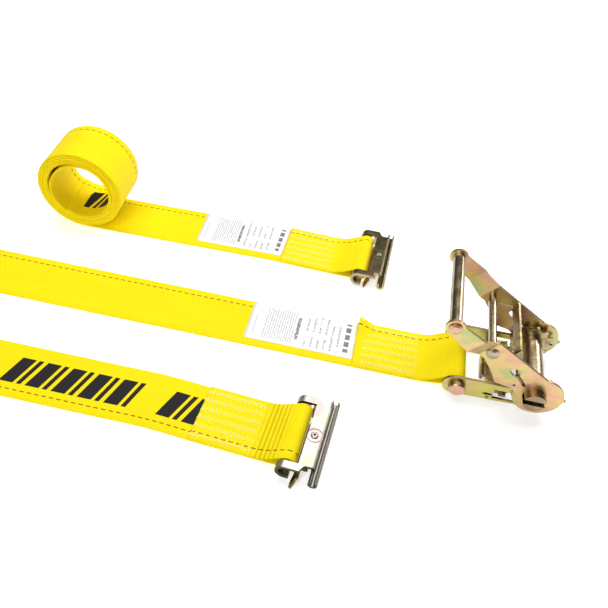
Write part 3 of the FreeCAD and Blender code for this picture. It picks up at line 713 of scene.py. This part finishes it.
def build_springs():
    wire = plated_material("coil_wire", (STEEL, TAN, BRONZE), 0.25, 0.9, 120)
    low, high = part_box("lock_pawl_springs")
    height = (low.z + high.z) / 2
    for y in (low.y + 2.2 * MM, high.y - 2.2 * MM):
        ends = Vector((low.x + 0.4 * MM, y, height)), Vector((high.x - 0.4 * MM, y, height))
        points = helix(*ends, 1.75 * MM, 5)
        coil = wire_mesh("lock_coil_" + ("near" if y < 0 else "far"), points, 0.36 * MM, wire)
        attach(coil, "ratchet_frame")
        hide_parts("lock_pawl_springs")
        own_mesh(coil)
    low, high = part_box("drive_pawl_springs")
    middle = (Vector(low) + Vector(high)) / 2
    span = Vector((math.cos(DRIVE_SPRING), 0, math.sin(DRIVE_SPRING)))
    reach = DRIVE_SPRING_HALF
    for y in (low.y + 1.8 * MM, high.y - 1.8 * MM):
        centre = Vector((middle.x, y, middle.z))
        points = helix(centre - span * reach, centre + span * reach, 1.4 * MM, 8)
        coil = wire_mesh("drive_coil_" + ("near" if y < 0 else "far"), points, 0.36 * MM, wire)
        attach(coil, "handle")
        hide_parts("drive_pawl_springs")
        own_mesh(coil)
    for fitting, deg in (("fixed_fitting", LOW_DEG), ("long_fitting", LONG_DEG)):
        axis = Matrix.Rotation(math.radians(deg), 4, "Z") @ Vector((0, 1, 0))
        middle = (Vector(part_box(fitting + "_spring")[0]) + Vector(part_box(fitting + "_spring")[1])) / 2
        ends = [middle - axis * 9.4 * MM, middle + axis * 9.4 * MM]
        legs = ((-4 * MM, 0, -3.4 * MM), (-4 * MM, 0, -3.4 * MM))
        coil = wire_mesh(fitting + "_coil", helix(ends[0], ends[1], 2.15 * MM, 11, legs), 0.34 * MM, wire)
        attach(coil, fitting)
        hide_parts(fitting + "_spring")


# --- metal parts keep their CAD shapes ------------------------------------------------------
def paint_metal():
    """Each CAD node takes the metal of the first rule that its name starts with."""
    metals = metal_set()
    rules = (("handle_plate", "handle"), ("handle_cross", "bright"), ("grip_rod", "head"),
             ("grip", "bright"), ("spool", "spool"), ("end_bolt", "head"), ("ratchet_wheel", "wheel"),
             ("drive_pawl_springs", "spring"), ("lock_pawl_springs", "spring"),
             ("drive_pawl", "pawl"), ("lock_pawl", "pawl"),
             ("frame_plate", "frame"), ("frame_cross", "pawl"), ("end_", "bright"),
             ("long_fitting_latch", "copper"), ("long_fitting_rivet", "silver"),
             ("long_fitting", "dark_fit"), ("fixed_fitting_latch", "frame"),
             ("fixed_fitting", "pale_fit"))
    for name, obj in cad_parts.items():
        for start, metal in rules:
            if name.startswith(start):
                obj.data.materials.clear()
                obj.data.materials.append(metals[metal])
                break


# --- stage, light and camera ----------------------------------------------------------------
def area_light(name, place, target, size, power, colour=(1, 1, 1)):
    lamp = bpy.data.lights.new(name, "AREA")
    lamp.shape = "RECTANGLE"
    lamp.size, lamp.size_y = size
    lamp.energy = power
    lamp.color = colour
    obj = bpy.data.objects.new(name, lamp)
    obj.location = place
    obj.rotation_euler = (Vector(target) - Vector(place)).to_track_quat("-Z", "Y").to_euler()
    bpy.context.scene.collection.objects.link(obj)


def build_stage():
    mesh = bpy.data.meshes.new("floor")
    half, below = 6, -0.2 * MM
    corners = [(x * half, y * half, below) for x, y in ((-1, -1), (1, -1), (1, 1), (-1, 1))]
    mesh.from_pydata(corners, [], [(0, 1, 2, 3)])
    floor = bpy.data.objects.new("floor", mesh)
    bpy.context.scene.collection.objects.link(floor)
    n = Nodes("floor_paper")
    n.finish((0.9, 0.9, 0.9, 1), 0.75, Emission_Color=(1, 1, 1, 1), Emission_Strength=0.5)
    mesh.materials.append(n.mat)
    world = bpy.context.scene.world or bpy.data.worlds.new("studio")
    bpy.context.scene.world = world
    world.use_nodes = True
    back = world.node_tree.nodes["Background"]
    back.inputs[0].default_value = (1, 1, 1, 1)
    back.inputs[1].default_value = 0.10
    area_light("overhead_soft", (-0.15, 0.45, 1.05), (-0.1, 0.0, 0), (1.3, 0.55), 12)
    area_light("front_fill", (-0.4, -1.0, 0.9), (-0.1, 0, 0), (1.0, 0.6), 9)
    area_light("strip_right", (0.78, 0.80, 0.70), (0.12, 0, 0.04), (0.16, 0.9), 6)
    bpy.context.scene.view_settings.view_transform = "Standard"


def build_camera():
    """Looks down at about 45 degrees, rolled a little to one side."""
    data = bpy.data.cameras.new("camera")
    data.lens, data.sensor_width, data.clip_start = 40.35, 36.0, 0.01
    camera = bpy.data.objects.new("camera", data)
    forward = Vector((-0.07087502, 0.69913755, -0.71146568))
    upward = Vector((-0.19959213, 0.68889474, 0.69684074))
    right = forward.cross(upward)
    camera.matrix_world = Matrix((
        (right.x, upward.x, -forward.x, -0.015),
        (right.y, upward.y, -forward.y, -0.393),
        (right.z, upward.z, -forward.z, 0.4365),
        (0, 0, 0, 1)))
    bpy.context.scene.collection.objects.link(camera)
    bpy.context.scene.camera = camera


build_webbing()
paint_metal()
build_springs()
build_stage()
build_camera()
